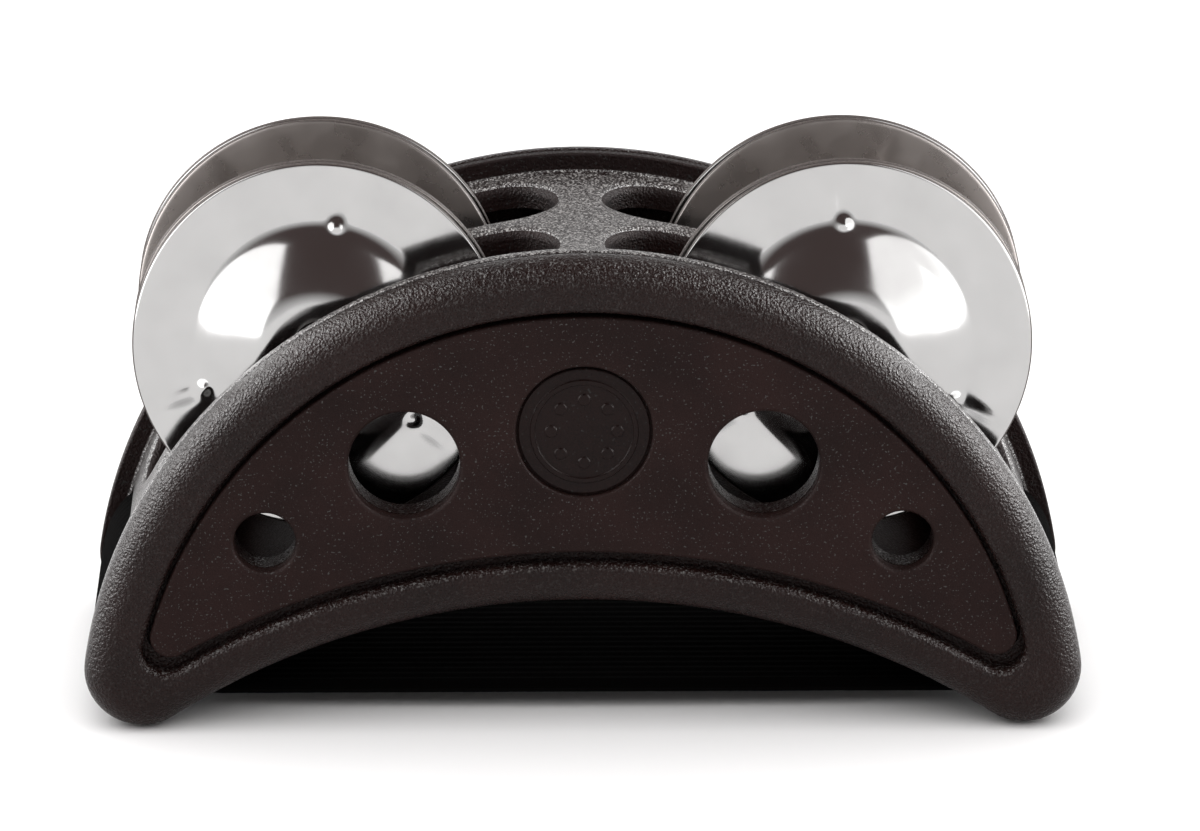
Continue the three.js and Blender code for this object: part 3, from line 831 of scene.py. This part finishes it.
def build_strap_loop(side):
    """The sewn end of the strap, a sleeve round its rod."""
    bm = bmesh.new()
    y, slack, soft = STRAP_HALF_WIDTH, 0.0003, 0.0003
    outer, inner = ROD_LOOP_R, ROD_R + slack
    rings = [(outer - soft, -y), (outer, -y + soft), (outer, y - soft), (outer - soft, y),
             (inner + soft, y), (inner, y - soft), (inner, -y + soft), (inner + soft, -y)]
    join(bm, [add_loop(bm, circle(side * ROD_X, ROD_Z, r), d) for r, d in rings], closed=True)
    return bm


# ---------------------------------------------------------------- put it together

for end_name in ("front", "rear"):
    add_end(end_name)
place(build_frame(), "body", ["body_frame"])
add_jingles()
for sign, side_name in ((-1, "left"), (1, "right")):
    pin_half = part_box(f"jingle_pin_{side_name}")[1].y
    pin = turned_rod(f"{side_name}_jingle_axle", sign * PIN_X, PIN_Z, PIN_R, pin_half, PIN_RING_DEPTH)
    place(pin, f"pin_{side_name}", [f"jingle_pin_{side_name}"])
    bar = turned_rod(f"{side_name}_strap_bar", sign * ROD_X, ROD_Z, ROD_R, STRAP_HALF_WIDTH)
    place(bar, "body", [f"strap_rod_{side_name}"])
strap_bm, strap_length = build_strap()
strap = to_object(strap_bm, "elastic_strap", webbing)
place(strap, "body", ["strap"])
sleeves = [place(to_object(build_strap_loop(sign), f"{side_name}_strap_loop", webbing), "body")
           for sign, side_name in ((-1, "left"), (1, "right"))]


# ---------------------------------------------------------------- floor, light and camera

def stage_floor():
    reach, drop = 6.0, -0.0002
    bm = bmesh.new()
    spots = ((-reach, -reach), (reach, -reach), (reach, reach), (-reach, reach))
    bm.faces.new([bm.verts.new((x, y, drop)) for x, y in spots])
    s = Shader("floor", Roughness=0.9, Specular_IOR_Level=0.0, Base_Color=(0.92, 0.92, 0.92, 1))
    to_object(bm, "floor", s.material)


def softbox(name, near, far, low, high, power):
    """An upright softbox between two points of the plan, from low to high, that faces the object.

    Only glossy surfaces see it, so it makes reflections and leaves the floor evenly lit."""
    near, far = Vector((*near, 0.0)), Vector((*far, 0.0))
    along = far - near
    inward = Vector((along.y, -along.x, 0.0))
    centre = 0.5 * (near + far) + Vector((0, 0, 0.5 * (low + high)))
    if inward.dot(centre) > 0:
        inward.negate()
    data = bpy.data.lights.new(name, "AREA")
    data.shape, data.size, data.size_y, data.energy = "RECTANGLE", along.length, high - low, power
    light = bpy.data.objects.new(name, data)
    bpy.context.scene.collection.objects.link(light)
    light.location = centre
    light.rotation_euler = inward.to_track_quat("-Z", "Y").to_euler()
    light.visible_camera = False
    light.visible_diffuse = False


def sky_fill():
    """A very wide sun overhead, which only matt surfaces see: the plain soft light of the whole scene."""
    fill = bpy.data.lights.new("sky_fill", "SUN")
    fill.energy, fill.angle = 3.8, math.radians(100)
    overhead = bpy.data.objects.new("sky_fill", fill)
    bpy.context.scene.collection.objects.link(overhead)
    overhead.rotation_euler = (math.radians(12), 0, 0)
    overhead.visible_glossy = False


def studio_world():
    """White walls under a dark ceiling that leans to the front; the camera sees white all round."""
    white, ceiling = (1.3, 1.3, 1.3, 1), (0.1, 0.074, 0.071, 1)
    world = bpy.data.worlds.new("studio")
    bpy.context.scene.world = world
    world.use_nodes = True
    tree = world.node_tree
    height = tree.nodes.new("ShaderNodeVectorMath")
    height.operation = "DOT_PRODUCT"
    height.inputs[1].default_value = (0, -0.35, 1.0)
    tree.links.new(tree.nodes.new("ShaderNodeTexCoord").outputs["Generated"], height.inputs[0])
    overhead = tree.nodes.new("ShaderNodeMapRange")
    overhead.inputs["From Min"].default_value = 0.3
    overhead.inputs["From Max"].default_value = 0.6
    tree.links.new(height.outputs["Value"], overhead.inputs["Value"])
    room, shown = (tree.nodes.new("ShaderNodeMix") for _ in range(2))
    room.data_type = shown.data_type = "RGBA"
    room.inputs[6].default_value, room.inputs[7].default_value = white, ceiling
    shown.inputs[7].default_value = white
    tree.links.new(overhead.outputs["Result"], room.inputs[0])
    tree.links.new(tree.nodes.new("ShaderNodeLightPath").outputs["Is Camera Ray"], shown.inputs[0])
    tree.links.new(room.outputs[2], shown.inputs[6])
    tree.links.new(shown.outputs[2], tree.nodes["Background"].inputs["Color"])


def studio():
    """Softboxes wrapped round the object's two sides, stronger to the right, soft fill and the walls."""
    for side, name, inner, power in ((-1, "left", 0.11, 9.0), (1, "right", 0.09, 11.0)):
        plan = ((inner, -0.2), (0.19, -0.17), (0.3, -0.1), (0.4, 0.25))
        front, corner, edge, back = ((side * x, y) for x, y in plan)
        softbox(f"front_strip_{name}", front, corner, 0.045, 0.3, 0.155)
        softbox(f"corner_box_{name}", corner, edge, 0.045, 0.34, 0.5)
        softbox(f"side_box_{name}", edge, back, 0.06, 0.44, power)
    sky_fill()
    studio_world()


def camera():
    """The photo's view, fitted to its discs, holes and feet."""
    azimuth, elevation, distance = math.radians(-1.05), math.radians(18.8), 1.04167
    target = Vector((0.00261, -0.002, 0.03662))
    back = Vector((math.sin(azimuth) * math.cos(elevation), -math.cos(azimuth) * math.cos(elevation),
                   math.sin(elevation)))
    data = bpy.data.cameras.new("camera")
    data.lens, data.sensor_width = 225, 36
    cam = bpy.data.objects.new("camera", data)
    bpy.context.scene.collection.objects.link(cam)
    cam.location = target + back * distance
    roll = Matrix.Rotation(math.radians(0.15), 4, "Z")
    cam.rotation_euler = ((-back).to_track_quat("-Z", "Y").to_matrix().to_4x4() @ roll).to_euler()
    bpy.context.scene.camera = cam


stage_floor()
studio()
camera()
bpy.context.scene.view_settings.view_transform = "Standard"
